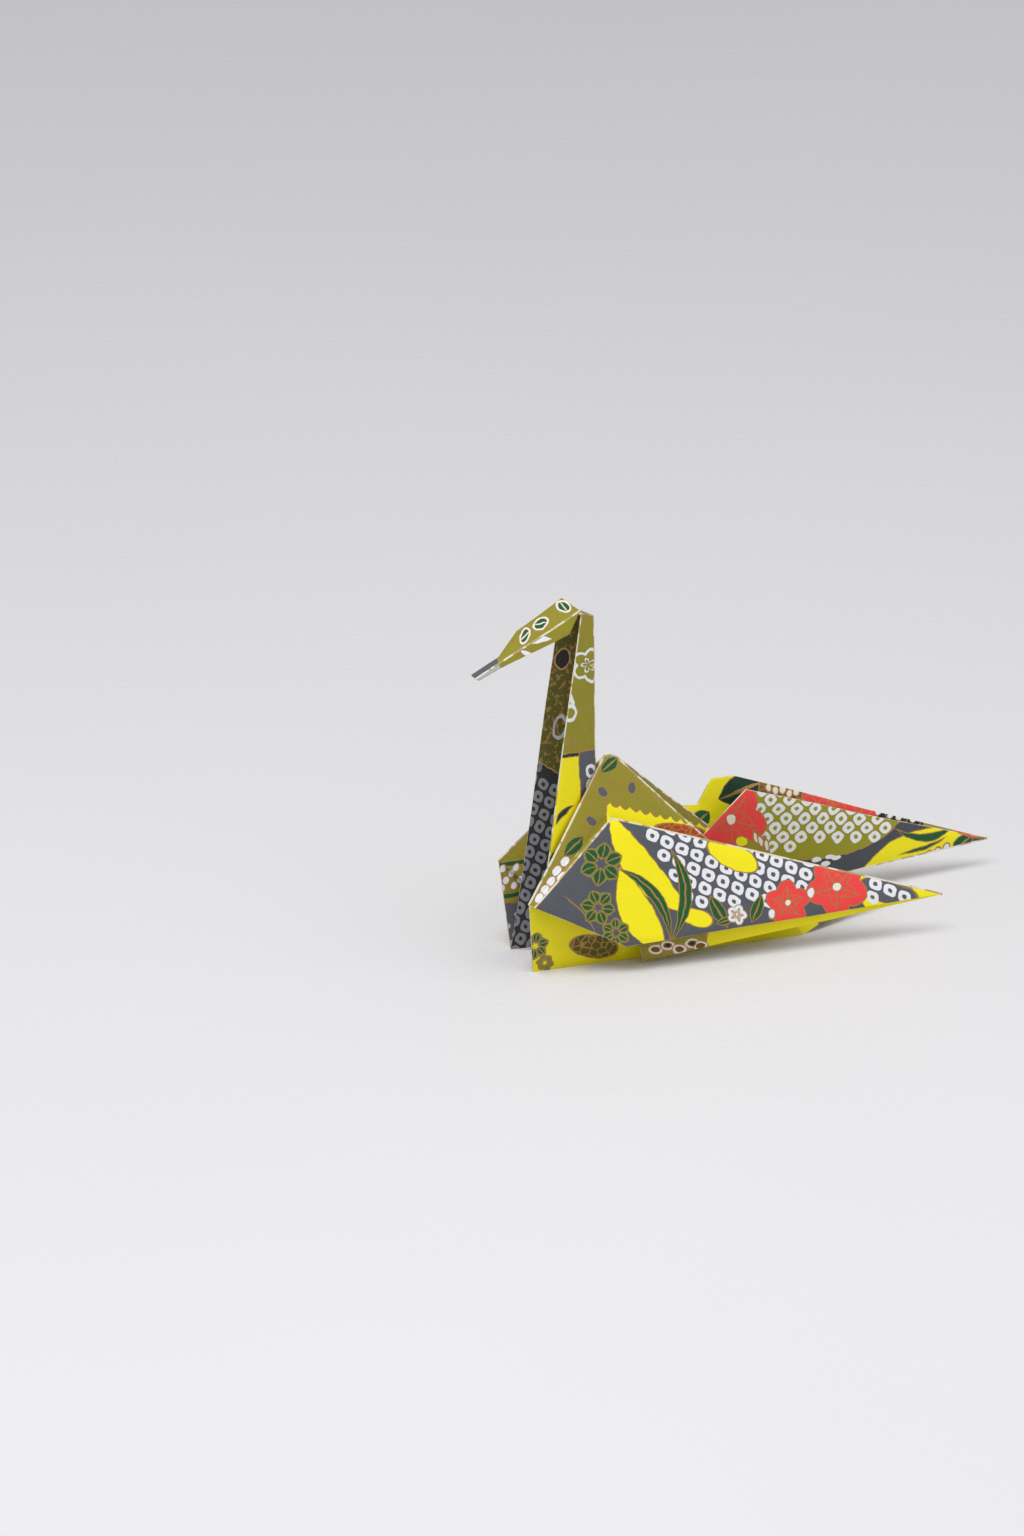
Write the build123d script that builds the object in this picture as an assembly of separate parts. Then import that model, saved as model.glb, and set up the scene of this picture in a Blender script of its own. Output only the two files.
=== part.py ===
from build123d import *
import os

# Folded paper crane: one sheet, folded flat and spread a little, standing on
# the folded lower edges of its body.  +X runs from head to tail, +Z is up.

# Sheet: two layers of paper pressed together in every facet
sheet = 0.50
fold_radius = 0.30

# Body: two sides that lean out from the feet to the shoulder, then in to the apex
foot_half = 5.0
body_length = 46.0
shoulder_half = 7.0
shoulder_x = -1.5
left_shoulder_z = 12.5
right_shoulder_z = 14.6
rump_x = 35.0
apex_x = 14.7
apex_z = 33.0
ridge_length = 1.6

# Neck: an upright channel, closed at the back and open at the breast
crotch_x = 13.0
crotch_z = 1.5
neck_top_x = 11.8
neck_top_z = 57.2
left_neck_taper = 0.17
right_neck_taper = 0.38
neck_top_rise = 0.024

# Head: the neck's tip turned forward, with a crease along its top from crown to beak.
# Each facet's edge is given by its share along the crease and its distance below or above it
crown_forward = 2.1
crown_rise = 1.2
beak_forward = 17.6
beak_drop = 9.4
jaw_slope = 0.30
jaw_edge = ((0.12, -2.30), (0.27, -1.98), (0.77, -0.78), (0.97, -0.57))
brow_slope = 2.40
brow_edge = ((0.09, 1.68), (0.54, 1.45), (0.76, 0.45), (1.02, 0.46))

# Tail: a low pointed channel between the wings, closed on top
tail_root_x = 20.0
tail_root_z = 10.0
tail_tip_x = 60.0
tail_tip_z = 4.5

# Left wing, swept back: an outer face and an inner face that meet in a ridge
left_front = (-0.9, -8.0, 12.3)
left_top = (13.4, -4.5, 24.1)
left_low = (13.7, -11.0, 4.8)
left_reach = 53.4
left_fall = 17.5
left_inner_low = (17.6, -8.0, 0.6)

# Right wing, swept back further: an inner face and a wider outer face on one low fold
right_root_x = 36.0
right_root_z = 3.0
right_tip = (83.9, 12.0, 4.7)
right_inner_top = (40.7, 7.5, 20.7)
right_inner_edge = ((31.1, 13.4), (29.0, 6.0))
right_outer_top = (40.1, 11.5, 21.7)
right_outer_edge = ((36.1, 21.9), (33.1, 18.4), (28.7, 18.9), (27.0, 8.0))


def right_side_y(z):
    """Half width of the body's right side at height z, below the shoulder."""
    return foot_half + (shoulder_half - foot_half) * z / right_shoulder_z


def on_plane(p, q, r, x, z):
    """The point at x and z in the plane of p, q and r."""
    normal = (q - p).cross(r - p)
    y = p.Y - (normal.X * (x - p.X) + normal.Z * (z - p.Z)) / normal.Y
    return Vector(x, y, z)


def plate(*points):
    """A flat facet of the sheet, with its thickness centred on the points."""
    outline = Wire.make_polygon([Vector(p) for p in points], close=True)
    return extrude(Face(outline), amount=sheet / 2, both=True)


def fold(start, end):
    """The rounded back of a fold between two points."""
    start, end = Vector(start), Vector(end)
    along = end - start
    return Solid.make_cylinder(fold_radius, along.length, Plane(origin=start, z_dir=along))


def body_side(side, shoulder_z):
    """One side of the body, its half of the hump and the inner faces behind it."""
    foot_front = Vector(0, side * foot_half, 0)
    foot_back = Vector(body_length, side * foot_half, 0)
    shoulder = Vector(shoulder_x, side * shoulder_half, shoulder_z)
    rump = Vector(rump_x, side * shoulder_half, shoulder_z)
    apex_front = Vector(apex_x - ridge_length / 2, 0, apex_z)
    apex_back = Vector(apex_x + ridge_length / 2, 0, apex_z)
    crotch = Vector(crotch_x, 0, crotch_z)
    tail_root = Vector(tail_root_x, 0, tail_root_z)
    return [
        plate(foot_front, foot_back, rump, shoulder),
        plate(shoulder, rump, apex_back, apex_front),
        plate(apex_front, shoulder, crotch),
        plate(apex_back, rump, tail_root),
        fold(shoulder, rump),
        fold(shoulder, apex_front),
        fold(rump, apex_back),
        fold(foot_front, foot_back),
    ]


def neck_side(side, taper):
    """One side of the neck, from the foot fold to the head."""
    foot_front = Vector(0, side * foot_half, 0)
    crotch = Vector(crotch_x, 0, crotch_z)
    top = Vector(neck_top_x, 0, neck_top_z)
    top_front = top + (foot_front - crotch) * taper + (top - crotch) * neck_top_rise
    return [plate(foot_front, crotch, top, top_front), fold(foot_front, crotch)]


def head():
    """Both sides of the head, joined in the crease that runs to the beak."""
    top = Vector(neck_top_x, 0, neck_top_z)
    crown = top + Vector(-crown_forward, 0, crown_rise)
    crease = Vector(-beak_forward, 0, -beak_drop)
    facets = [fold(crown, crown + crease), fold(crown, top)]
    for edge, slope in ((jaw_edge, jaw_slope), (brow_edge, brow_slope)):
        outline = [crown + crease * share + Vector(0, slope * rise, rise) for share, rise in edge]
        facets.append(plate(crown, *outline, crown + crease))
    return facets


def tail():
    """Both sides of the tail, joined in the crease along its top."""
    root = Vector(tail_root_x, 0, tail_root_z)
    tip = Vector(tail_tip_x, 0, tail_tip_z)
    sides = [plate(root, Vector(body_length, side * foot_half, 0), tip) for side in (-1, 1)]
    return sides + [fold(root, tip)]


def left_wing():
    """The wing on -Y: outer face, inner face, and the turn of paper at its root."""
    front, top, low = Vector(left_front), Vector(left_top), Vector(left_low)
    inner_low = Vector(left_inner_low)
    tip = on_plane(front, top, low, top.X + left_reach, top.Z - left_fall)
    shoulder = Vector(shoulder_x, -shoulder_half, left_shoulder_z)
    hump_y = -shoulder_half * (apex_z - top.Z) / (apex_z - left_shoulder_z)
    hump = Vector(top.X, hump_y, top.Z)
    return [
        plate(front, top, tip, low),
        plate(top, tip, inner_low),
        plate(shoulder, hump, top),
        plate(shoulder, top, front),
        fold(top, tip),
        fold(front, top),
    ]


def right_wing():
    """The wing on +Y: an inner face and an outer face, both rising from the low fold."""
    root = Vector(right_root_x, right_side_y(right_root_z), right_root_z)
    tip = Vector(right_tip)
    facets = [fold(root, tip)]
    for top, edge in ((right_inner_top, right_inner_edge), (right_outer_top, right_outer_edge)):
        top = Vector(top)
        outline = [on_plane(root, tip, top, *place) for place in edge]
        facets.append(plate(root, tip, top, *outline))
    return facets


facets = body_side(-1, left_shoulder_z) + body_side(1, right_shoulder_z)
facets += neck_side(-1, left_neck_taper) + neck_side(1, right_neck_taper)
facets += [fold((crotch_x, 0, crotch_z), (neck_top_x, 0, neck_top_z))]
facets += head() + tail() + left_wing() + right_wing()
crane = facets[0].fuse(*facets[1:])

# The lower folds are pressed flat where the crane stands
size = crane.bounding_box().size
ground = Box(2 * size.X + body_length, 2 * size.Y, size.Z, align=(Align.CENTER, Align.CENTER, Align.MAX))
crane = crane.cut(ground)

# The origin is under the middle of the crane, on the surface it stands on
middle = crane.bounding_box().center()
crane = crane.solids()[0].moved(Location((-middle.X, -middle.Y, 0)))

os.makedirs("parts", exist_ok=True)
export_step(crane, "parts/crane.step")
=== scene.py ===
import math

import bmesh
import bpy
from mathutils import Matrix, Vector, noise


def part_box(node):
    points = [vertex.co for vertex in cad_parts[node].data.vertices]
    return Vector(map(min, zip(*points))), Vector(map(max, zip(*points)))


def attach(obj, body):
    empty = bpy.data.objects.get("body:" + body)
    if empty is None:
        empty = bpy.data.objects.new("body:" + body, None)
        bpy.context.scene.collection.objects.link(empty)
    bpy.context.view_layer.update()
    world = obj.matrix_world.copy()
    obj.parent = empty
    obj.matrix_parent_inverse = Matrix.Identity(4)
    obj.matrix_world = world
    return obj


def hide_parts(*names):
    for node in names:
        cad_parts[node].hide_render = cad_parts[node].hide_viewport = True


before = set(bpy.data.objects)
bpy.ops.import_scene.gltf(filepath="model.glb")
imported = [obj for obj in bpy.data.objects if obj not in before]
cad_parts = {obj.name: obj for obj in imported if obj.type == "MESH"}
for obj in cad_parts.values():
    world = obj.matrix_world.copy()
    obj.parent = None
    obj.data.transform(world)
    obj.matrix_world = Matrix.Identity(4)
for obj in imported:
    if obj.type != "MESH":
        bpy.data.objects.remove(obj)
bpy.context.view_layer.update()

MM = 0.001

# The crane's folds, in millimetres, from the middle of its front foot
BODY = dict(foot_half=5.0, length=46.0, shoulder_half=7.0, shoulder_x=-1.5, left_shoulder_z=12.5,
            right_shoulder_z=14.6, rump_x=35.0, apex_x=14.7, apex_z=33.0, ridge=1.6)
NECK = dict(crotch=(13.0, 0.0, 1.5), top=(11.8, 0.0, 57.2), left_taper=0.17, right_taper=0.38, top_rise=0.024)
HEAD = dict(crown=(-2.1, 0.0, 1.2), crease=(-17.6, 0.0, -9.4),
            jaw_slope=0.30, jaw_edge=((0.12, -2.30), (0.27, -1.98), (0.77, -0.78), (0.97, -0.57)),
            brow_slope=2.40, brow_edge=((0.09, 1.68), (0.54, 1.45), (0.76, 0.45), (1.02, 0.46)))
TAIL = dict(root=(20.0, 0.0, 10.0), tip=(60.0, 0.0, 4.5))
LEFT_WING = dict(front=(-0.9, -8.0, 12.3), top=(13.4, -4.5, 24.1), low=(13.7, -11.0, 4.8),
                 tip=(66.8, 6.6), inner_low=(17.6, -8.0, 0.6))
RIGHT_WING = dict(root=(36.0, 3.0), tip=(83.9, 12.0, 4.7),
                  inner_top=(40.7, 7.5, 20.7), inner_edge=((31.1, 13.4), (29.0, 6.0)),
                  outer_top=(40.1, 11.5, 21.7),
                  outer_edge=((36.1, 21.9), (33.1, 18.4), (28.7, 18.9), (27.0, 8.0)))

# Paper
SHEET = 0.36
FOLD_RADIUS = 0.20
FACET_CUTS = 7
FOLD_STEPS = 12
FOLD_SIDES = 8
RIM_SHARE = 0.3
RIM_SEGMENTS = 2
RIM_ANGLE = math.radians(60)
CREASE_ANGLE = math.radians(35)
ALONGSIDE = 0.9
SLACK = 0.22
SLACK_PITCH = 16.0
SLACK_SEED = 5

# The photograph's view: turned towards the head, looking down, and its scale on the paper
VIEW_TURN = math.radians(20)
VIEW_FALL = math.radians(22)
PX_PER_MM = 6.3
FOOT_PX = (522.2, 960.4)
IMAGE_PX = (1024, 1536)
LENS_MM = 400.0
SENSOR_MM = 36.0
CLIP_START = 0.01

VIEW_RIGHT = Vector((math.cos(VIEW_TURN), -math.sin(VIEW_TURN), 0))
VIEW_UP = Vector((math.sin(VIEW_TURN) * math.sin(VIEW_FALL), math.cos(VIEW_TURN) * math.sin(VIEW_FALL),
                  math.cos(VIEW_FALL)))
VIEW_BACK = VIEW_RIGHT.cross(VIEW_UP)


def srgb(red, green, blue):
    """A colour as the eye names it, from 0 to 255, as linear light."""
    def linear(level):
        level /= 255
        return level / 12.92 if level <= 0.04045 else ((level + 0.055) / 1.055) ** 2.4
    return (linear(red), linear(green), linear(blue), 1.0)


def shaded(colour, share):
    """A colour brought down to a share of its light."""
    return tuple(share * level for level in colour[:3]) + (1.0,)


YELLOW = srgb(244, 230, 6)
OLIVE = srgb(148, 144, 28)
GREY = srgb(86, 89, 97)
SMOKE = srgb(176, 177, 180)
INK = srgb(30, 31, 34)
# Painted shade: a near-black field for the shadowed lower inside of the neck
PAINTED_SHADE_CHARCOAL = srgb(38, 39, 43)
SLATE = srgb(72, 76, 83)
# Painted shade: white rings greyed for the shadowed inside of the neck
PAINTED_SHADE_ASH = srgb(132, 133, 137)
# Painted shade: olive darkened for the shadowed inside of the neck and the shadow under the near wing
PAINTED_SHADE_OLIVE = srgb(88, 86, 14)
LEAF = srgb(12, 84, 40)
DEEP_LEAF = srgb(8, 52, 34)
MOSS = srgb(92, 140, 30)
RED = srgb(236, 66, 64)
RUST = srgb(178, 62, 22)
BROWN = srgb(122, 82, 28)
WHITE = srgb(232, 232, 236)
CREAM = srgb(236, 228, 208)
GOLD = srgb(172, 134, 76)

# Printing, in photograph pixels: its lines, the sway of a hand-cut stencil and the uneven ground
LINE = 1.0
FINE_LINE = 0.8
VEIN = 0.6
EDGE = 0.35
SWAY = 3.2
SWAY_PITCH = 9.0
GROUND_PITCH = 22.0
GROUND_SHADE = 0.80
FLECK_PITCH = 1.1
EVERYWHERE = 1000.0
SHEET_STEP = (173.0, 97.0)
FLECK_LEVEL = 0.69
FLECK_SHARPNESS = 8.0
FLECK_STRENGTH = 0.7
GRAIN_LEVEL = 0.56
GRAIN_SHARPNESS = 9.0
GRAIN_STRENGTH = 0.6
NET_LINE = 0.06
NET_STRENGTH = 0.7

# Motifs: shares of their own size, and the rim of a sprig's leaf in photograph pixels
RING_SIZE = 0.84
RING_HOLE = 0.30
RING_SQUARENESS = 2.8
VEIN_SHARE = 0.10
PETALS = 5
HALF_PETAL = 180 / PETALS
PETAL_DEPTH = 0.28
PETAL_VEIN_END = 0.25
BLOSSOM_LINES = ((0.62, 0), (0.40, HALF_PETAL))
BLOSSOM_LINE_DEPTH = 0.45
HEART = 0.13
OPEN_HEART = 0.45
OPEN_HEART_DEPTH = 0.7
OPEN_HEART_LINE = 0.6
SPRIG_LEAVES = 6
SPRIG_INNER = 0.20
SPRIG_LEAF_WIDTH = 0.66
SPRIG_RIM = 1.5

# Paper, in metres, and its sheen
FIBRE_PITCH = 0.0004
CREASE_PITCH = 0.008
RELIEF = 0.00018
RELIEF_STRENGTH = 0.35
FIBRE_SHARE = 0.35
PAPER_ROUGHNESS = 0.62
GILT_ROUGHNESS = 0.40
GILT_METAL = 0.55
PAPER_SHEEN = 0.35


# Points of the folded sheet

def right_side_y(z):
    """Half width of the body's right side at height z, below the shoulder."""
    return BODY["foot_half"] + (BODY["shoulder_half"] - BODY["foot_half"]) * z / BODY["right_shoulder_z"]


def on_plane(p, q, r, x, z):
    """The point at x and z in the plane of p, q and r."""
    normal = (q - p).cross(r - p)
    return Vector((x, p.y - (normal.x * (x - p.x) + normal.z * (z - p.z)) / normal.y, z))


def fold_points():
    """Every corner of the folded sheet by name, in millimetres."""
    b = BODY
    points = {}
    for name, side in (("left", -1), ("right", 1)):
        points["foot_front_" + name] = Vector((0, side * b["foot_half"], 0))
        points["foot_back_" + name] = Vector((b["length"], side * b["foot_half"], 0))
        shoulder_z = b[name + "_shoulder_z"]
        points["shoulder_" + name] = Vector((b["shoulder_x"], side * b["shoulder_half"], shoulder_z))
        points["rump_" + name] = Vector((b["rump_x"], side * b["shoulder_half"], shoulder_z))
    points["apex_front"] = Vector((b["apex_x"] - b["ridge"] / 2, 0, b["apex_z"]))
    points["apex_back"] = Vector((b["apex_x"] + b["ridge"] / 2, 0, b["apex_z"]))
    crotch, top = Vector(NECK["crotch"]), Vector(NECK["top"])
    points["crotch"], points["neck_top"] = crotch, top
    for name in ("left", "right"):
        across = (points["foot_front_" + name] - crotch) * NECK[name + "_taper"]
        points["throat_" + name] = top + across + (top - crotch) * NECK["top_rise"]
    crown, crease = top + Vector(HEAD["crown"]), Vector(HEAD["crease"])
    points["crown"], points["beak"] = crown, crown + crease
    for name in ("jaw", "brow"):
        slope = HEAD[name + "_slope"]
        for index, (share, rise) in enumerate(HEAD[name + "_edge"]):
            points[f"{name}_{index}"] = crown + crease * share + Vector((0, slope * rise, rise))
    points["tail_root"], points["tail_tip"] = Vector(TAIL["root"]), Vector(TAIL["tip"])
    for name in ("front", "top", "low", "inner_low"):
        points["left_wing_" + name] = Vector(LEFT_WING[name])
    front, top, low = (points["left_wing_" + name] for name in ("front", "top", "low"))
    points["left_wing_tip"] = on_plane(front, top, low, *LEFT_WING["tip"])
    hump_share = (b["apex_z"] - top.z) / (b["apex_z"] - b["left_shoulder_z"])
    points["left_wing_hump"] = Vector((top.x, -b["shoulder_half"] * hump_share, top.z))
    x, z = RIGHT_WING["root"]
    root, tip = Vector((x, right_side_y(z), z)), Vector(RIGHT_WING["tip"])
    points["right_wing_root"], points["right_wing_tip"] = root, tip
    for name in ("inner", "outer"):
        top = Vector(RIGHT_WING[name + "_top"])
        points[f"right_wing_{name}_top"] = top
        for index, place in enumerate(RIGHT_WING[name + "_edge"]):
            points[f"right_wing_{name}_{index}"] = on_plane(root, tip, top, *place)
    return points


# Facets: the corners of each, and the print it carries
FACETS = {
    "left_side": ("side", "foot_front_left foot_back_left rump_left shoulder_left"),
    "right_side": ("breast", "foot_front_right shoulder_right rump_right foot_back_right"),
    "left_hump": ("hump", "shoulder_left rump_left apex_back apex_front"),
    "right_hump": ("hump", "shoulder_right apex_front apex_back rump_right"),
    "left_breast": ("plain", "apex_front shoulder_left crotch"),
    "right_breast": ("breast", "apex_front crotch shoulder_right"),
    "left_rump": ("plain", "apex_back tail_root rump_left"),
    "right_rump": ("hump", "apex_back rump_right tail_root"),
    "left_neck": ("neck", "foot_front_left crotch neck_top throat_left"),
    "right_neck": ("throat", "foot_front_right throat_right neck_top crotch"),
    "jaw": ("jaw", "crown jaw_0 jaw_1 jaw_2 jaw_3 beak"),
    "brow": ("brow", "crown brow_0 brow_1 brow_2 brow_3 beak"),
    "left_tail": ("plain", "tail_root foot_back_left tail_tip"),
    "right_tail": ("plain", "tail_root tail_tip foot_back_right"),
    "left_wing_outer": ("near_wing", "left_wing_front left_wing_top left_wing_tip left_wing_low"),
    "left_wing_inner": ("near_lining", "left_wing_top left_wing_tip left_wing_inner_low"),
    "left_wing_turn": ("hump", "shoulder_left left_wing_hump left_wing_top"),
    "left_wing_tuck": ("hump", "shoulder_left left_wing_top left_wing_front"),
    "right_wing_inner": ("far_wing", "right_wing_root right_wing_tip right_wing_inner_top "
                                     "right_wing_inner_0 right_wing_inner_1"),
    "right_wing_outer": ("far_lining", "right_wing_root right_wing_tip right_wing_outer_top "
                                       "right_wing_outer_0 right_wing_outer_1 "
                                       "right_wing_outer_2 right_wing_outer_3"),
}
FOLDS = (
    "shoulder_left rump_left", "shoulder_right rump_right",
    "shoulder_left apex_front", "shoulder_right apex_front",
    "rump_left apex_back", "rump_right apex_back", "apex_front apex_back",
    "foot_front_left foot_back_left", "foot_front_right foot_back_right",
    "foot_front_left crotch", "foot_front_right crotch",
    "crotch neck_top", "crown neck_top", "crown beak", "tail_root tail_tip",
    "left_wing_top left_wing_tip", "left_wing_front left_wing_top", "right_wing_root right_wing_tip",
)


# Shader maths

class Value:
    """A number that changes over the paper, with Python's arithmetic as Math nodes."""

    def __init__(self, ink, socket):
        self.ink, self.socket = ink, socket

    def math(self, operation, *others):
        sockets = [self, *others]
        return Value(self.ink, self.ink.node("ShaderNodeMath", dict(operation=operation), sockets).outputs[0])

    def __add__(self, other):
        return self.math("ADD", other)

    __radd__ = __add__

    def __sub__(self, other):
        return self.math("SUBTRACT", other)

    def __rsub__(self, other):
        return self * -1.0 + other

    def __mul__(self, other):
        return self.math("MULTIPLY", other)

    __rmul__ = __mul__

    def __truediv__(self, other):
        return self.math("DIVIDE", other)

    def __rtruediv__(self, other):
        return self.math("POWER", -1.0) * other

    def __abs__(self):
        return self.math("ABSOLUTE")

    def least(self, other):
        return self.math("MINIMUM", other)

    def most(self, other):
        return self.math("MAXIMUM", other)

    def root(self):
        return self.math("SQRT")

    def part(self):
        return self.math("FRACT")


class Nodes:
    """A material's node tree."""

    def __init__(self, name):
        self.material = bpy.data.materials.new(name)
        self.material.use_nodes = True
        self.tree = self.material.node_tree
        self.tree.nodes.clear()

    def node(self, kind, settings=None, sockets=()):
        """Adds a node: its settings first, then the values or links of its sockets, by place or by name."""
        node = self.tree.nodes.new(kind)
        for key, value in (settings or {}).items():
            setattr(node, key, value)
        pairs = sockets.items() if isinstance(sockets, dict) else enumerate(sockets)
        for key, value in pairs:
            value = value.socket if isinstance(value, Value) else value
            if isinstance(value, bpy.types.NodeSocket):
                self.tree.links.new(value, node.inputs[key])
            else:
                node.inputs[key].default_value = value
        return node

    def place(self):
        return self.node("ShaderNodeTexCoord").outputs["Object"]

    def vector(self, operation, *sockets):
        return self.node("ShaderNodeVectorMath", dict(operation=operation), sockets).outputs[0]

    def parts(self, vector):
        """The first two parts of a vector."""
        split = self.node("ShaderNodeSeparateXYZ", {}, [vector])
        return Value(self, split.outputs[0]), Value(self, split.outputs[1])

    def noise(self, vector, scale, detail=3.0, roughness=0.5):
        return self.node("ShaderNodeTexNoise", {}, {"Vector": vector, "Scale": scale, "Detail": detail,
                                                    "Roughness": roughness})

    def mix(self, under, over, mask):
        node = self.node("ShaderNodeMix", dict(data_type="RGBA"), {"Factor": mask, 6: under, 7: over})
        return node.outputs[2]

    def surface(self, colour, roughness, metallic, relief, strength, depth):
        """The shader, with a bump of the depth given."""
        bump = self.node("ShaderNodeBump", {}, {"Strength": strength, "Distance": depth, "Height": relief})
        shader = self.node("ShaderNodeBsdfPrincipled", {}, {
            "Base Color": colour, "Roughness": roughness, "Metallic": metallic, "Normal": bump.outputs[0],
            "Specular IOR Level": PAPER_SHEEN})
        self.node("ShaderNodeOutputMaterial", {}, [shader.outputs[0]])
        return self.material


class Ink(Nodes):
    """One printed facet: the print's coordinates in photograph pixels, its colour so far and its gilding."""

    def __init__(self, name, ground):
        super().__init__(name)
        self.flat = self.node("ShaderNodeUVMap", dict(uv_map="print")).outputs["UV"]
        sway = self.noise(self.flat, 1 / SWAY_PITCH, detail=2.0).outputs["Color"]
        sway = self.vector("SUBTRACT", sway, (0.5, 0.5, 0.5))
        self.coords = self.vector("MULTIPLY_ADD", sway, (SWAY, SWAY, SWAY), self.flat)
        self.x, self.y = self.parts(self.coords)
        tone = self.noise(self.flat, 1 / GROUND_PITCH, detail=4.0).outputs[0]
        self.colour = self.mix(shaded(ground, GROUND_SHADE), ground, tone)
        self.gilt = None

    def inside(self, depth):
        """1 where depth is above nothing and 0 elsewhere, with a soft printed edge."""
        settings = dict(operation="MULTIPLY_ADD", use_clamp=True)
        return Value(self, self.node("ShaderNodeMath", settings, [depth, 1 / EDGE, 0.5]).outputs[0])

    def cover(self, mask, colour):
        self.colour = self.mix(self.colour, colour, mask)
        if self.gilt is not None:
            self.gilt = self.gilt * (1.0 - mask)

    def gild(self, mask):
        self.colour = self.mix(self.colour, GOLD, mask)
        self.gilt = mask if self.gilt is None else self.gilt.most(mask)

    def shape(self, depth, colour, line=LINE):
        """A field of colour with a gold line round it."""
        if line:
            self.gild(self.inside(depth + line))
        self.cover(self.inside(depth), colour)

    # Depth of a motif: how far inside its outline, in photograph pixels

    def turned(self, centre, turn):
        """Coordinates from a centre, turned clockwise as seen, in degrees."""
        c, s = math.cos(math.radians(turn)), math.sin(math.radians(turn))
        across, down = self.x - centre[0], self.y - centre[1]
        return across * c + down * s, down * c - across * s

    def oval(self, centre, radii, turn=0.0):
        along, beside = self.turned(centre, turn)
        along, beside = along / radii[0], beside / radii[1]
        return (1.0 - (along * along + beside * beside).root()) * min(radii)

    def blade(self, start, end, width, bend=0.0):
        """A leaf pointed at both ends, bent sideways by a share of its length."""
        middle = ((start[0] + end[0]) / 2, (start[1] + end[1]) / 2)
        reach = math.dist(start, end) / 2
        turn = math.degrees(math.atan2(end[1] - start[1], end[0] - start[0]))
        along, beside = self.turned(middle, turn)
        along = along / reach
        swell = 1.0 - along * along
        return swell * (width / 2) - abs(beside - swell * (bend * reach))

    def bloom(self, centre, radius, turn=0.0, depth=PETAL_DEPTH):
        along, beside = self.turned(centre, turn)
        reach = (along * along + beside * beside).root()
        angle = beside.math("ARCTAN2", along)
        lobe = (angle * (PETALS / 2)).math("COSINE").math("ABSOLUTE")
        return (lobe * depth + (1.0 - depth)) * radius - reach

    def beyond(self, start, end):
        """Depth on the right side of a line drawn downwards, from start to end."""
        length = math.dist(start, end)
        across = (end[1] - start[1]) / length
        down = (end[0] - start[0]) / length
        return (self.x - start[0]) * across - (self.y - start[1]) * down

    def under(self, start, end):
        """Depth straight down from a line through start and end."""
        slope = (end[1] - start[1]) / (end[0] - start[0])
        return self.y - (self.x - start[0]) * slope - start[1]

    # Motifs

    def rings(self, region, origin, row, column, colour=WHITE):
        """Rows of small round-cornered rings, as tie-dyed dots: those whose middle lies in the region."""
        turn = row[0] * column[1] - row[1] * column[0]
        across, down = self.x - origin[0], self.y - origin[1]
        along = across * (column[1] / turn) - down * (column[0] / turn)
        beside = down * (row[0] / turn) - across * (row[1] / turn)
        step, tier = along.math("FLOOR") + 0.5, beside.math("FLOOR") + 0.5
        place = self.x, self.y
        self.x = step * row[0] + tier * column[0] + origin[0]
        self.y = step * row[1] + tier * column[1] + origin[1]
        within = region()
        self.x, self.y = place
        along, beside = abs(along - step), abs(beside - tier)
        along, beside = (part.math("POWER", RING_SQUARENESS) for part in (along, beside))
        reach = (along + beside).math("POWER", 1 / RING_SQUARENESS)
        pitch = min(math.hypot(*row), math.hypot(*column))
        ring = (RING_SIZE / 2 - reach).least(reach - RING_HOLE / 2) * pitch
        self.cover(self.inside(ring.least(within)), colour)

    def grain(self, within, stretch):
        """Fine gold streaks drawn out along one direction."""
        streak = Value(self, self.noise(self.vector("MULTIPLY", self.flat, stretch), 1.0).outputs[0])
        streak = (streak - GRAIN_LEVEL) * GRAIN_SHARPNESS
        self.gild(self.inside(streak.least(within)) * GRAIN_STRENGTH)

    def pebbles(self, within, pitch, strength=NET_STRENGTH):
        """A gold network, as on a tortoise's shell."""
        cells = self.node("ShaderNodeTexVoronoi", dict(feature="DISTANCE_TO_EDGE"),
                          {"Vector": self.coords, "Scale": 1 / pitch}).outputs["Distance"]
        line = (NET_LINE - Value(self, cells)) * pitch
        self.gild(self.inside(line.least(within)) * strength)

    def dots(self, centres, radii, colour=WHITE, line=0.0, turn=0.0):
        for centre in centres:
            self.shape(self.oval(centre, radii, turn), colour, line)

    def leaf(self, start, end, width, bend=0.0, colour=LEAF, vein=True):
        """A leaf with a gold line round it, and a gold vein."""
        self.shape(self.blade(start, end, width, bend), colour)
        if vein:
            self.gild(self.inside(self.blade(start, end, width * VEIN_SHARE + FINE_LINE, bend)))

    def spray(self, centre, inner, outer, width, leaves, turn):
        """Depth of a ring of pointed leaves that grow out from a centre."""
        along, beside = self.turned(centre, turn)
        share = (beside.math("ARCTAN2", along) / (2 * math.pi / leaves)).part() - 0.5
        angle = share * (2 * math.pi / leaves)
        reach = (along * along + beside * beside).root()
        place = (reach * angle.math("COSINE") - (inner + outer) / 2) / ((outer - inner) / 2)
        swell = 1.0 - place * place
        aside = abs(reach * angle.math("SINE"))
        return swell * (width / 2) - aside, (VEIN - aside).least(swell * (width / 2) - VEIN)

    def clover(self, centre, radius, turn):
        """A sprig of small leaves, dark at the middle, each with a gold line and vein."""
        inner, width = radius * SPRIG_INNER, radius * SPRIG_LEAF_WIDTH
        depth, vein = self.spray(centre, inner, radius, width, SPRIG_LEAVES, turn)
        self.shape(depth, MOSS)
        self.shape(depth - SPRIG_RIM, LEAF, FINE_LINE)
        self.gild(self.inside(vein))

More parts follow.
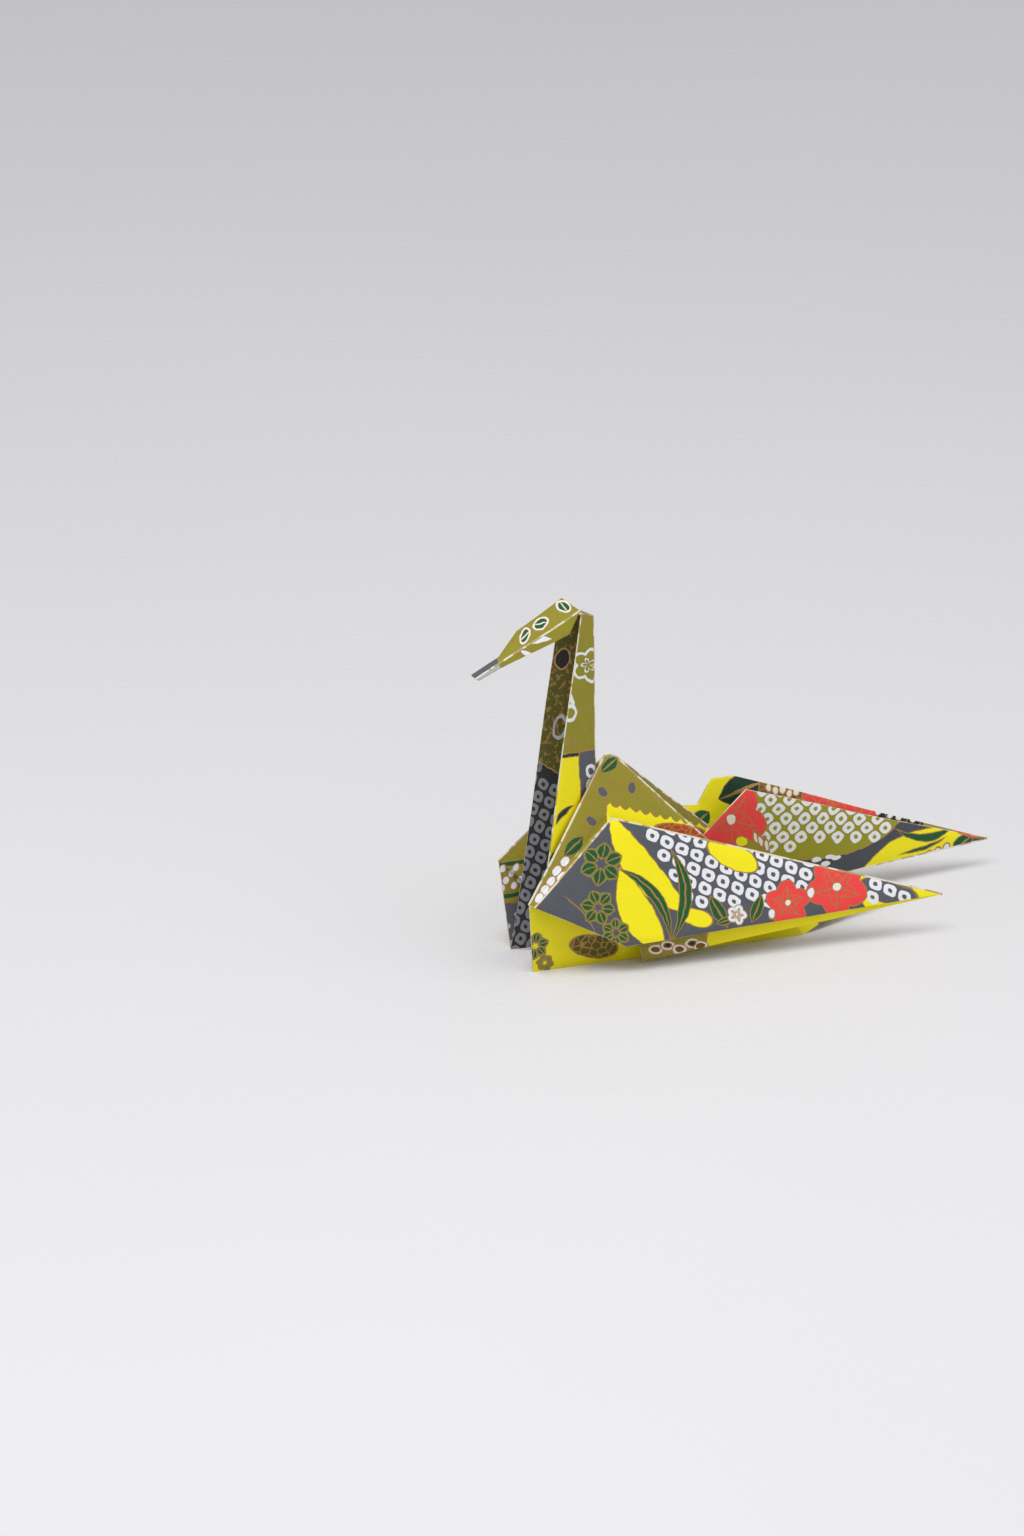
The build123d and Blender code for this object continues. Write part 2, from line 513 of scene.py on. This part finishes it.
    def blossom(self, centre, radius, turn=0.0, colour=RED):
        """A blossom with a gold line round it, gold veins in its petals and a pale heart."""
        depth = self.bloom(centre, radius, turn)
        self.shape(depth, colour)
        along, beside = self.turned(centre, turn)
        angle = beside.math("ARCTAN2", along)
        reach = (along * along + beside * beside).root()
        vein = VEIN - abs((angle * (PETALS / 2)).math("SINE")) * reach * (2 / PETALS)
        self.gild(self.inside(vein.least(depth - radius * PETAL_VEIN_END)))
        for share, shift in BLOSSOM_LINES:
            inner = self.bloom(centre, radius * share, turn + shift, BLOSSOM_LINE_DEPTH)
            self.gild(self.inside(inner.least(FINE_LINE - inner)))
        heart = radius * HEART
        self.shape(self.oval(centre, (heart, heart)), CREAM, FINE_LINE)

    def open_blossom(self, centre, radius, line):
        """A blossom drawn in white outline only."""
        depth = self.bloom(centre, radius)
        self.cover(self.inside(depth.least(line - depth)), WHITE)
        heart = self.bloom(centre, radius * OPEN_HEART, HALF_PETAL, OPEN_HEART_DEPTH)
        self.cover(self.inside(heart.least(line * OPEN_HEART_LINE - heart)), WHITE)

    def loop(self, centre, radii, line, turn=0.0, colour=WHITE):
        """A drawn loop."""
        depth = self.oval(centre, radii, turn)
        self.cover(self.inside(depth.least(line - depth)), colour)

    def finish(self):
        """Flecks of gilding and the paper's fibres, then the shader."""
        fleck = Value(self, self.noise(self.flat, 1 / FLECK_PITCH, detail=2.0).outputs[0])
        self.gild(self.inside((fleck - FLECK_LEVEL) * FLECK_SHARPNESS) * FLECK_STRENGTH)
        place = self.place()
        fibre = Value(self, self.noise(place, 1 / FIBRE_PITCH, detail=4.0, roughness=0.65).outputs[0])
        crease = Value(self, self.noise(place, 1 / CREASE_PITCH, detail=2.0).outputs[0])
        rough = PAPER_ROUGHNESS - self.gilt * (PAPER_ROUGHNESS - GILT_ROUGHNESS)
        relief = fibre * FIBRE_SHARE + crease
        return self.surface(self.colour, rough, self.gilt * GILT_METAL, relief, RELIEF_STRENGTH, RELIEF)


# Prints, facet by facet, with their places in photograph pixels

RING_ROW = (14.7, 6.5)
RING_COLUMN = (-3.2, 13.4)
HEAD_GRAIN = (0.18, 0.30, 1.0)
BILL_FROM = ((501, 671), (496, 659))


def near_wing_print():
    """Grey with tie-dyed rings, yellow leaves, leaf sprigs on the left, red blossoms and a yellow tip."""
    ring_left = ((642, 822), (690, 906))
    ring_right, ring_low = 817, 904
    ring_origin = (646.5, 826)
    yellow_leaves = (((609, 813), (690, 914), 30, 0.155), ((620, 868), (668, 954), 32, 0.14))
    yellow_ovals = (((697, 918), (15, 8), 15), ((732, 856), (27, 12), 28))
    blades = (((621, 870), (671, 938), 10, -0.30), ((672, 852), (673, 938), 11, -0.30))
    sprigs = (((601, 864), 22, 10), ((598, 907), 18, 40), ((616, 932), 15, 0))
    stem = ((560, 894), (598, 938), 1.6, -0.18)
    low_leaves = (((710, 897), (727, 927), 12), ((762, 896), (752, 922), 10), ((717, 924), (732, 919), 6))
    low_blossom = ((737, 915), 10)
    red_blossoms = (((837, 887), 31, 20), ((788, 903), 22, 50))
    white_bits = ((772, 914), (811, 893))
    white_bit_radii = (3.0, 4.5)
    yellow_tip = ((842, 862), (872, 920))
    tip_pool = ((889, 892), (30, 12), 15)
    tip_rings = (867, 888)
    brown_edge = ((905, 884), (10, 3), 12)

    ink = Ink("near_wing_print", GREY)

    def block():
        return ink.beyond(*ring_left).least(ring_right - ink.x).least(ring_low - ink.y)
    ink.rings(block, ring_origin, RING_ROW, RING_COLUMN)
    for leaf in yellow_leaves:
        ink.shape(ink.blade(*leaf), YELLOW)
    for oval in yellow_ovals:
        ink.shape(ink.oval(*oval), YELLOW)
    for blade in blades:
        ink.leaf(*blade)
    ink.gild(ink.inside(ink.blade(*stem)))
    for sprig in sprigs:
        ink.clover(*sprig)
    for leaf in low_leaves:
        ink.leaf(*leaf)
    ink.blossom(*low_blossom, colour=WHITE)
    ink.shape(ink.beyond(*yellow_tip), YELLOW)
    ink.shape(ink.oval(*tip_pool), GREY)
    ink.rings(lambda: ink.oval(*tip_pool), tip_rings, RING_ROW, RING_COLUMN)
    ink.shape(ink.oval(*brown_edge), BROWN)
    for blossom in red_blossoms:
        ink.blossom(*blossom)
    ink.dots(white_bits, white_bit_radii, WHITE, FINE_LINE)
    return ink.finish()


def near_lining_print():
    """The near wing's inside: olive with pale-edged dark ovals, then yellow."""
    ovals = ((656, 949), (668, 945), (680, 949), (692, 943), (701, 946))
    rim_radii, brown_radii, dark_radii = (7.0, 4.6), (4.6, 2.8), (2.4, 1.6)
    yellow_from = ((708, 930), (706, 960))
    net_pitch = 6.0
    ink = Ink("near_lining_print", OLIVE)
    ink.pebbles(EVERYWHERE, net_pitch)
    ink.shape(ink.beyond(*yellow_from), YELLOW)
    ink.dots(ovals, rim_radii, CREAM, FINE_LINE)
    ink.dots(ovals, brown_radii, BROWN)
    ink.dots(ovals[1::2], dark_radii, INK)
    return ink.finish()


def hump_print():
    """Olive netted with gold, a yellow field with a scalloped top, and grey and white spots."""
    yellow_top = ((606, 802), (676, 818))
    yellow_left = 607.0
    scallop_rise = 4.0
    scallop_pitch = 10.0
    scallop_line = 1.4
    red_patch = ((682, 832), (25, 7), 10)
    net_pitch, red_net_pitch = 6.0, 7.0
    grey_spots = (((632, 788), 90), ((603, 792), 40), ((591, 821), 40))
    grey_radii = (5.5, 3.6)
    spot_line = 0.9
    apex_leaf = ((602, 772), (618, 758), 12)
    low_leaf = ((563, 856), (583, 836), 12)
    white_spots = ((564, 861), (556, 870), (550, 880), (544, 889), (538, 897), (561, 876), (552, 890))
    white_radii = (3.6, 5.2)
    white_turn = 35
    ink = Ink("hump_print", OLIVE)
    ink.pebbles(EVERYWHERE, net_pitch)
    wave = (ink.x * (math.pi / scallop_pitch)).math("SINE").math("ABSOLUTE") * scallop_rise
    below = ink.under(*yellow_top) - wave
    ink.shape(below.least(ink.x - yellow_left), YELLOW, scallop_line)
    patch = ink.oval(*red_patch)
    ink.shape(patch, RUST)
    ink.pebbles(patch, red_net_pitch, strength=1.0)
    for centre, turn in grey_spots:
        ink.shape(ink.oval(centre, grey_radii, turn), GREY, spot_line)
    ink.leaf(*apex_leaf)
    ink.leaf(*low_leaf)
    ink.dots(white_spots, white_radii, WHITE, spot_line, white_turn)
    return ink.finish()


def side_print_and_painted_shade():
    """Yellow, with a leaf cluster at the breast and an olive patch netted with gold, darkened as painted
    shade under the wing.
    """
    sprigs = (((535, 945), 14, 10), ((545, 962), 9, 40))
    painted_shade_patch = ((594, 946), (23, 11), 5)
    net_pitch = 8.0
    ink = Ink("side_print_and_painted_shade", YELLOW)
    patch = ink.oval(*painted_shade_patch)
    # Painted shade: the patch's olive is darkened for the shadow under the near wing; its gold net is print
    ink.shape(patch, PAINTED_SHADE_OLIVE)
    ink.pebbles(patch, net_pitch, strength=1.0)
    for sprig in sprigs:
        ink.clover(*sprig)
    return ink.finish()


def neck_print():
    """Olive with upright gold grain over a scalloped edge, then yellow with a ringed grey strip."""
    blossom = ((588, 666), 18, 3.0)
    curl = ((570, 714), (7, 9), 2.6, 10)
    curl_tail = ((571, 694), (573, 710), 4)
    grain_stretch = (0.45, 0.06, 1.0)
    edge = ((560, 755), (597, 750))
    edge_line = 1.8
    green_depth = 3.5
    grey_strip = ((579, 745), (583, 830))
    strip_rings = ((591, 771), (591, 786))
    ring_radii, ring_line = (5.2, 7.2), 2.6
    grass = ((572, 806), (556, 822), 4, 0.2)
    low_leaf = ((556, 850), (545, 884), 9)
    ink = Ink("neck_print", OLIVE)
    ink.grain(edge[0][1] - ink.y, grain_stretch)
    ink.open_blossom(*blossom)
    ink.loop(*curl)
    ink.cover(ink.inside(ink.blade(*curl_tail)), WHITE)
    below = ink.under(*edge)
    ink.shape(below, DEEP_LEAF, edge_line)
    ink.shape(below - green_depth, YELLOW, FINE_LINE)
    strip = ink.beyond(*grey_strip).least(below)
    ink.shape(strip, GREY)
    for centre in strip_rings:
        ink.loop(centre, ring_radii, ring_line)
    ink.leaf(*grass, DEEP_LEAF, vein=False)
    ink.leaf(*low_leaf)
    return ink.finish()


def throat_print_and_painted_shade():
    """The neck's inside, print darkened as painted shade: dark olive with gold strokes and a black leaf, then
    near-black with grey rings.
    """
    black_leaf = ((562, 659), (6.5, 9.5), 10)
    curl = ((560, 727), (7, 13), 2.2, 10)
    ringed_from = ((536, 759), (556, 772))
    ring_origin = (529, 768)
    ring_row = (11.0, 6.0)
    ring_column = (-5.0, 12.5)
    ring_margin = 5.0
    grain_stretch = (0.22, 0.16, 1.0)
    dark_line = 1.2
    # Painted shade: the olive ground darkened for the shadowed inside of the neck
    ink = Ink("throat_print_and_painted_shade", PAINTED_SHADE_OLIVE)
    below = ink.under(*ringed_from)
    ink.grain(below * -1.0, grain_stretch)
    ink.shape(ink.oval(*black_leaf), INK, dark_line)
    ink.loop(*curl, SMOKE)
    # Painted shade: the near-black field and greyed rings below the line stand for the shadow deep in the
    # throat
    ink.shape(below, PAINTED_SHADE_CHARCOAL, dark_line)
    ink.rings(lambda: ink.under(*ringed_from) - ring_margin, ring_origin, ring_row, ring_column, PAINTED_SHADE_ASH)
    return ink.finish()


def brow_print():
    """The head's upper facet: olive with pale-edged leaf-green patches, and the grey bill."""
    patches = (((563, 607), (8, 6), 25), ((540, 624), (9, 6), -35), ((524, 637), (9, 5), 110))
    rim = (2.0, 1.7)
    vein_inset, vein_half, vein_turn = 2.4, 0.7, 25
    ink = Ink("brow_print", OLIVE)
    ink.grain(EVERYWHERE, HEAD_GRAIN)
    for centre, radii, turn in patches:
        ink.shape(ink.oval(centre, radii, turn), CREAM, FINE_LINE)
        leaf = ink.oval(centre, (radii[0] - rim[0], radii[1] - rim[1]), turn)
        ink.cover(ink.inside(leaf), LEAF)
        vein = ink.oval(centre, (radii[0] - vein_inset, vein_half), turn + vein_turn)
        ink.cover(ink.inside(vein), CREAM)
    ink.shape(ink.beyond(*BILL_FROM), GREY)
    return ink.finish()


def jaw_print():
    """The head's lower facet: olive with white curls, and the bare underside of the bill."""
    curls = (((530, 645), (551, 640), 6, -0.25), ((520, 652), (533, 656), 5, 0.2))
    curl_line = 0.7
    ink = Ink("jaw_print", OLIVE)
    ink.grain(EVERYWHERE, HEAD_GRAIN)
    for curl in curls:
        ink.shape(ink.blade(*curl), WHITE, curl_line)
    ink.shape(ink.beyond(*BILL_FROM), SMOKE)
    return ink.finish()


def breast_print():
    """The far breast: olive with white blossoms, green bands and a dark foot with pale spots."""
    blossoms = ((503, 869), (511, 874), (506, 881), (514, 886), (502, 889), (516, 868), (520, 880))
    blossom_radii, blossom_turn = (2.8, 3.8), 20
    bands = ((510, 864), (510, 896))
    band_half = 2.0
    band_slope = 0.15
    dark_from = 903.0
    spots = ((508, 926), (516, 934), (522, 924), (512, 942), (518, 914))
    spot_radii = (3.4, 2.6)
    net_pitch = 8.0
    ink = Ink("breast_print", OLIVE)
    ink.pebbles(EVERYWHERE, net_pitch)
    for x, y in bands:
        ink.shape(band_half - abs(ink.y - y + (ink.x - x) * band_slope), LEAF)
    ink.dots(blossoms, blossom_radii, WHITE, FINE_LINE, blossom_turn)
    ink.shape(ink.y - dark_from, GREY)
    ink.dots(spots, spot_radii, SMOKE)
    return ink.finish()


def far_wing_print():
    """The far wing's inside: a red blossom, olive with white rings, grey below, yellow towards the tip."""
    olive_low = ((800, 792), (112, 67), 2)
    ring_left, ring_right = 760, 892
    ring_low = ((758, 851), (900, 836))
    ring_origin = (762.4, 800.9)
    ring_row, ring_column = (11.0, -9.4), (7.8, 9.2)
    red_blossom = ((732, 820), 36, 15)
    yellow_bit = ((743, 842), (6, 5), 0)
    pale_bits = ((757, 838), (762, 842), (768, 846))
    pale_radii, pale_turn = (1.8, 5.0), -15
    pool_spots = ((819, 860), (828, 864), (839, 858), (833, 857))
    pool_radii, pool_turn = (5.0, 2.4), -10
    yellow_leaf = ((862, 878), (976, 832), 44, 0.0)
    crescent = ((902, 831), (958, 826), 7, 0.34)
    grass = ((908, 854), (946, 840), 2.6, 0.08)
    petals = ((933, 857), (942, 853), (951, 849))
    petal_radii, petal_turn = (2.8, 5.0), 20
    bold_line = 1.2
    tip_leaf = ((957, 853), (978, 836), 14)
    red_tip = ((972, 832), (14, 4), 18)
    ink = Ink("far_wing_print", SLATE)
    ink.shape(ink.oval(*olive_low), OLIVE)

    def block():
        above = ink.under(*ring_low) * -1.0
        return (ink.x - ring_left).least(ring_right - ink.x).least(above)
    ink.rings(block, ring_origin, ring_row, ring_column)
    ink.dots(pool_spots, pool_radii, turn=pool_turn)
    ink.shape(ink.blade(*yellow_leaf), YELLOW)
    ink.leaf(*crescent, vein=False)
    ink.leaf(*grass, vein=False)
    ink.dots(petals, petal_radii, WHITE, bold_line, petal_turn)
    ink.blossom(*red_blossom)
    ink.shape(ink.oval(*yellow_bit), YELLOW)
    ink.dots(pale_bits, pale_radii, CREAM, bold_line, pale_turn)
    ink.leaf(*tip_leaf)
    ink.shape(ink.oval(*red_tip), RED)
    return ink.finish()


def far_lining_print():
    """The far wing's outside: yellow, a dark leaf, brown with dots, a red band, ink with dots, a red tip."""
    leaf = ((720, 800), (768, 780), 30, 0.0)
    low_leaf = ((694, 826), (710, 812), 16)
    fields = ((((762, 770), (758, 860)), BROWN), (((806, 770), (800, 860)), RED),
              (((884, 770), (880, 860)), INK), (((932, 770), (926, 860)), OLIVE),
              (((962, 770), (956, 860)), RED), (((986, 770), (982, 860)), BROWN))
    pale_dots = ((770, 788), (777, 791), (784, 790), (791, 794), (798, 793))
    pale_radii = (2.6, 3.6)
    white_dots = ((894, 816), (902, 818), (909, 816), (917, 820), (882, 812))
    white_radii = (2.8, 2.2)
    net_left, net_pitch = 762, 9.0
    ink = Ink("far_lining_print", YELLOW)
    ink.leaf(*leaf, DEEP_LEAF)
    ink.leaf(*low_leaf)
    for place, colour in fields:
        ink.shape(ink.beyond(*place), colour)
    ink.pebbles(ink.x - net_left, net_pitch)
    ink.dots(pale_dots, pale_radii, CREAM, FINE_LINE)
    ink.dots(white_dots, white_radii)
    return ink.finish()


def plain_print():
    """The all-over print: fields of yellow, olive and ringed grey, with scattered blossoms and leaves."""
    field_pitch = 74.0
    motif_pitch = 46.0
    yellow_above = 0.55
    olive_below = 0.44
    sharp = 400.0
    field_depth = 160.0
    blossom_lots = ((0.0, 0.28, RED), (0.62, 0.72, WHITE))
    blossom_radius = 13.0
    inner_radius, inner_depth = 7.8, 0.6
    heart_radii = (2.0, 2.0)
    leaf_lot = (0.30, 0.58)
    leaf_spray = (2.0, 17.0, 10.0, 5, 20)
    ink = Ink("plain_print", GREY)
    field = Value(ink, ink.noise(ink.flat, 1 / field_pitch, detail=1.0).outputs[0])
    ink.rings(lambda: EVERYWHERE, (0, 0), RING_ROW, RING_COLUMN)
    ink.shape((field - yellow_above) * field_depth, YELLOW)
    ink.shape((olive_below - field) * field_depth, OLIVE)
    cells = ink.node("ShaderNodeTexVoronoi", {}, {"Vector": ink.coords, "Scale": 1 / motif_pitch})
    lot = ink.parts(cells.outputs["Color"])[0]
    sheet = ink.x, ink.y
    ink.x, ink.y = ink.parts(ink.vector("SUBTRACT", ink.coords, cells.outputs["Position"]))
    middle = (0, 0)
    for low, high, colour in blossom_lots:
        chosen = (lot - low).least(high - lot) * sharp
        ink.shape(ink.bloom(middle, blossom_radius).least(chosen), colour)
        inner = ink.bloom(middle, inner_radius, HALF_PETAL, inner_depth)
        ink.gild(ink.inside(inner.least(FINE_LINE - inner).least(chosen)))
        ink.cover(ink.inside(ink.oval(middle, heart_radii).least(chosen)), CREAM)
    chosen = (lot - leaf_lot[0]).least(leaf_lot[1] - lot) * sharp
    depth, vein = ink.spray(middle, *leaf_spray)
    ink.shape(depth.least(chosen), LEAF)
    ink.gild(ink.inside(vein.least(chosen)))
    ink.x, ink.y = sheet
    return ink.finish()


def bare_edge():
    """The sheet's cut edges and the tops of its folds, rubbed to the white of the paper."""
    rub_pitch = 0.004
    rub_sharpness = 12.0
    gilt_above, gilt_strength = 0.56, 0.7
    olive_below, olive_strength = 0.42, 0.8
    ink = Ink("bare_edge", CREAM)
    rub = Value(ink, ink.noise(ink.place(), 1 / rub_pitch).outputs[0])
    ink.gild(ink.inside((rub - gilt_above) * rub_sharpness) * gilt_strength)
    ink.cover(ink.inside((olive_below - rub) * rub_sharpness) * olive_strength, OLIVE)
    return ink.finish()


PRINTS = dict(near_wing=near_wing_print, near_lining=near_lining_print, hump=hump_print, side=side_print_and_painted_shade,
              neck=neck_print, throat=throat_print_and_painted_shade, brow=brow_print, jaw=jaw_print, breast=breast_print,
              far_wing=far_wing_print, far_lining=far_lining_print, plain=plain_print, edge=bare_edge)


# The folded sheet

def photo_place(point):
    """Where a point of the crane falls in the photograph, in pixels."""
    return (FOOT_PX[0] + PX_PER_MM * point.dot(VIEW_RIGHT), FOOT_PX[1] - PX_PER_MM * point.dot(VIEW_UP))


def sheet_place(corners, index):
    """A rule giving a point's place on a facet's own flat print, in pixels."""
    along = (corners[1] - corners[0]).normalized()
    normal = along.cross(corners[-1] - corners[0]).normalized()
    beside = normal.cross(along)
    start = Vector(SHEET_STEP) * index

    def place(point):
        away = point - corners[0]
        return start + Vector((away.dot(along), away.dot(beside))) * PX_PER_MM
    return place


def facet(corners, seen, back, print_index, back_index, edge_index):
    """One flat piece of the sheet, with its thickness, soft edges and a print on each side."""
    bm = bmesh.new()
    uv = bm.loops.layers.uv.new("print")
    face = bm.faces.new([bm.verts.new(corner) for corner in corners])
    bm.normal_update()
    normal = face.normal.copy()
    if len(corners) > 4:
        bmesh.ops.triangulate(bm, faces=bm.faces)
    bmesh.ops.subdivide_edges(bm, edges=bm.edges, cuts=FACET_CUTS, use_grid_fill=True)
    bmesh.ops.translate(bm, verts=bm.verts, vec=normal * (SHEET / 2))
    bmesh.ops.solidify(bm, geom=bm.faces, thickness=SHEET)
    bmesh.ops.recalc_face_normals(bm, faces=bm.faces)
    bm.normal_update()
    rim = [edge for edge in bm.edges if edge.calc_face_angle(0.0) > RIM_ANGLE]
    bmesh.ops.bevel(bm, geom=rim, offset=SHEET * RIM_SHARE, offset_type="OFFSET",
                    segments=RIM_SEGMENTS, profile=0.5, affect="EDGES", material=-1)
    bm.normal_update()
    for face in bm.faces:
        faces_view = face.normal.dot(VIEW_BACK) > 0
        flat = abs(face.normal.dot(normal)) > ALONGSIDE
        face.material_index = edge_index if not flat else print_index if faces_view else back_index
        face.smooth = True
        place = seen if faces_view else back
        for loop in face.loops:
            loop[uv].uv = place(loop.vert.co)
    return bm


def fold_bead(start, end, edge_index):
    """The rounded top of one fold."""
    bm = bmesh.new()
    bm.loops.layers.uv.new("print")
    run = end - start
    turn = run.to_track_quat("Z", "Y").to_matrix().to_4x4()
    bmesh.ops.create_cone(bm, cap_ends=True, segments=FOLD_SIDES, radius1=FOLD_RADIUS, radius2=FOLD_RADIUS,
                          depth=run.length, matrix=Matrix.Translation((start + end) / 2) @ turn)
    direction = run.normalized()
    long_edges = [edge for edge in bm.edges
                  if abs((edge.verts[1].co - edge.verts[0].co).normalized().dot(direction)) > ALONGSIDE]
    bmesh.ops.subdivide_edges(bm, edges=long_edges, cuts=FOLD_STEPS)
    for face in bm.faces:
        face.material_index = edge_index
        face.smooth = True
    return bm


def paper_crane():
    """The whole sheet, a little slack between its folds, set where the solid stands."""
    points = fold_points()
    names = list(PRINTS)
    sheet = bpy.data.meshes.new("paper_crane")
    whole = bmesh.new()
    pieces = []
    for index, (print_name, corner_names) in enumerate(FACETS.values()):
        corners = [points[name] for name in corner_names.split()]
        back = sheet_place(corners, index)
        seen = back if print_name == "plain" else photo_place
        slots = [names.index(name) for name in (print_name, "plain", "edge")]
        pieces.append(facet(corners, seen, back, *slots))
    for pair in FOLDS:
        start, end = (points[name] for name in pair.split())
        pieces.append(fold_bead(start, end, names.index("edge")))
    for piece in pieces:
        piece.to_mesh(sheet)
        piece.free()
        whole.from_mesh(sheet)
    reach_x, reach_y = ([point[axis] for point in points.values()] for axis in (0, 1))
    middle = Vector(((min(reach_x) + max(reach_x)) / 2, (min(reach_y) + max(reach_y)) / 2, 0))
    low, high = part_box("crane")
    stand = Vector(((low.x + high.x) / 2, (low.y + high.y) / 2, low.z))
    noise.seed_set(SLACK_SEED)
    for vert in whole.verts:
        vert.co += noise.noise_vector(vert.co / SLACK_PITCH) * SLACK
        vert.co.z = max(vert.co.z, 0.0)
        vert.co = stand + (vert.co - middle) * MM
    whole.to_mesh(sheet)
    whole.free()
    for name in names:
        sheet.materials.append(PRINTS[name]())
    sheet.set_sharp_from_angle(angle=CREASE_ANGLE)
    crane = bpy.data.objects.new("paper_crane", sheet)
    bpy.context.scene.collection.objects.link(crane)
    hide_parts("crane")
    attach(crane, "root")
    return stand - middle * MM


# Floor, light and camera

FLOOR_SIZE = 6.0
FLOOR_COLOUR = srgb(229, 227, 228)
FLOOR_SHADE = 0.94
FLOOR_CLOUD = 0.17
FLOOR_GRAIN = 0.0013
FLOOR_RELIEF = 0.0004
FLOOR_RELIEF_STRENGTH = 0.30
FLOOR_ROUGHNESS = 0.8
SKY = srgb(236, 238, 242)
SKY_STRENGTH = 0.47
KEY = dict(place=(-0.26, -0.22, 0.80), size=0.45, power=4.9)
FILL = dict(place=(0.55, -0.55, 0.55), size=0.90, power=2.0)


def floor():
    """A pale floor with a fine grain."""
    bm = bmesh.new()
    bmesh.ops.create_grid(bm, x_segments=1, y_segments=1, size=FLOOR_SIZE / 2)
    mesh = bpy.data.meshes.new("floor")
    bm.to_mesh(mesh)
    bm.free()
    pale = Nodes("pale_floor")
    place = pale.place()
    cloud = pale.noise(place, 1 / FLOOR_CLOUD, detail=4.0).outputs[0]
    colour = pale.mix(shaded(FLOOR_COLOUR, FLOOR_SHADE), FLOOR_COLOUR, cloud)
    grain = pale.noise(place, 1 / FLOOR_GRAIN).outputs[0]
    finish = pale.surface(colour, FLOOR_ROUGHNESS, 0.0, grain, FLOOR_RELIEF_STRENGTH, FLOOR_RELIEF)
    mesh.materials.append(finish)
    obj = bpy.data.objects.new("floor", mesh)
    bpy.context.scene.collection.objects.link(obj)


def soft_lamp(name, place, size, power):
    """A square lamp pointed at the crane."""
    lamp = bpy.data.lights.new(name, "AREA")
    lamp.shape = "SQUARE"
    lamp.size = size
    lamp.energy = power
    obj = bpy.data.objects.new(name, lamp)
    obj.location = place
    obj.rotation_euler = (-Vector(place)).to_track_quat("-Z", "Y").to_euler()
    bpy.context.scene.collection.objects.link(obj)


def sky():
    world = bpy.data.worlds.new("studio")
    world.use_nodes = True
    background = world.node_tree.nodes["Background"]
    background.inputs["Color"].default_value = SKY
    background.inputs["Strength"].default_value = SKY_STRENGTH
    bpy.context.scene.world = world


def camera(foot):
    """The photograph's view, with the image's scale met at the crane's front foot."""
    frame_height = IMAGE_PX[1] / PX_PER_MM
    distance = frame_height * LENS_MM / SENSOR_MM
    right = (IMAGE_PX[0] / 2 - FOOT_PX[0]) / PX_PER_MM
    up = (FOOT_PX[1] - IMAGE_PX[1] / 2) / PX_PER_MM
    aim = foot + (VIEW_RIGHT * right + VIEW_UP * up) * MM
    data = bpy.data.cameras.new("camera")
    data.lens = LENS_MM
    data.sensor_width = SENSOR_MM
    data.clip_start = CLIP_START
    obj = bpy.data.objects.new("camera", data)
    axes = Matrix((VIEW_RIGHT, VIEW_UP, VIEW_BACK)).transposed().to_4x4()
    obj.matrix_world = Matrix.Translation(aim + VIEW_BACK * distance * MM) @ axes
    bpy.context.scene.collection.objects.link(obj)
    bpy.context.scene.camera = obj


foot = paper_crane()
floor()
sky()
soft_lamp("key_lamp", **KEY)
soft_lamp("fill_lamp", **FILL)
camera(foot)
bpy.context.scene.view_settings.view_transform = "Standard"
